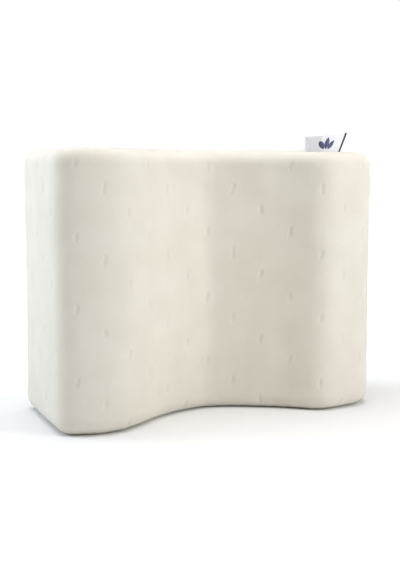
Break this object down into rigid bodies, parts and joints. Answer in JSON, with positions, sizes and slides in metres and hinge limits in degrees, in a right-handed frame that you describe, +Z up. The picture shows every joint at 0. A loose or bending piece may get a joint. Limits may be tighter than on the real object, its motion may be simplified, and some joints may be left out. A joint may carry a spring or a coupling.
{
  "type": "contoured foam support cushion",
  "caption": "Contoured foam support cushion, scooped between rounded lobes, in a quilted knit cover with a zip across its flat back.",
  "frame": {"origin": "under the middle of the whole cushion's box, on the surface that it stands on", "axes": "+X along the cushion's length from the high left lobe to the low right lobe, +Y out of the flat back, -Y out of the scooped front, +Z up"},
  "size_m": [0.265, 0.1201, 0.2148],
  "materials": {
    "quilted_knit": "matte",
    "liner_tricot": "matte",
    "memory_foam": "matte",
    "zip_tape": "matte",
    "zip_nylon": "satin",
    "zip_metal": "satin",
    "woven_label": "satin",
    "care_satin": "satin"
  },
  "bodies": {
    "cushion": {"cover_front_wrap": "quilted_knit", "cover_top_panel": "quilted_knit", "cover_bottom_panel": "quilted_knit", "cover_back_upper": "quilted_knit", "cover_back_lower": "quilted_knit", "liner_band": "liner_tricot", "liner_top_panel": "liner_tricot", "liner_bottom_panel": "liner_tricot", "foam_core": "memory_foam", "zip_tape_upper": "zip_tape", "zip_tape_lower": "zip_tape", "zip_coil_upper": "zip_nylon", "zip_coil_lower": "zip_nylon", "zip_top_stop_upper": "zip_metal", "zip_top_stop_lower": "zip_metal", "zip_bottom_stop": "zip_metal", "flag_label": "woven_label", "care_label": "care_satin"},
    "slider": {"zip_slider_body": "zip_metal"},
    "pull_tab": {"zip_pull_tab": "zip_metal"}
  },
  "joints": [
    {"name": "zip_slide", "type": "slide", "parent": "cushion", "child": "slider", "axis": [-1, 0, 0], "range_m": [0, 0.209]},
    {"name": "tab_hinge", "type": "hinge", "parent": "slider", "child": "pull_tab", "pos_m": [0.10475, 0.05875, 0.1], "axis": [0, 0, -1], "range_deg": [0, 180]}
  ]
}
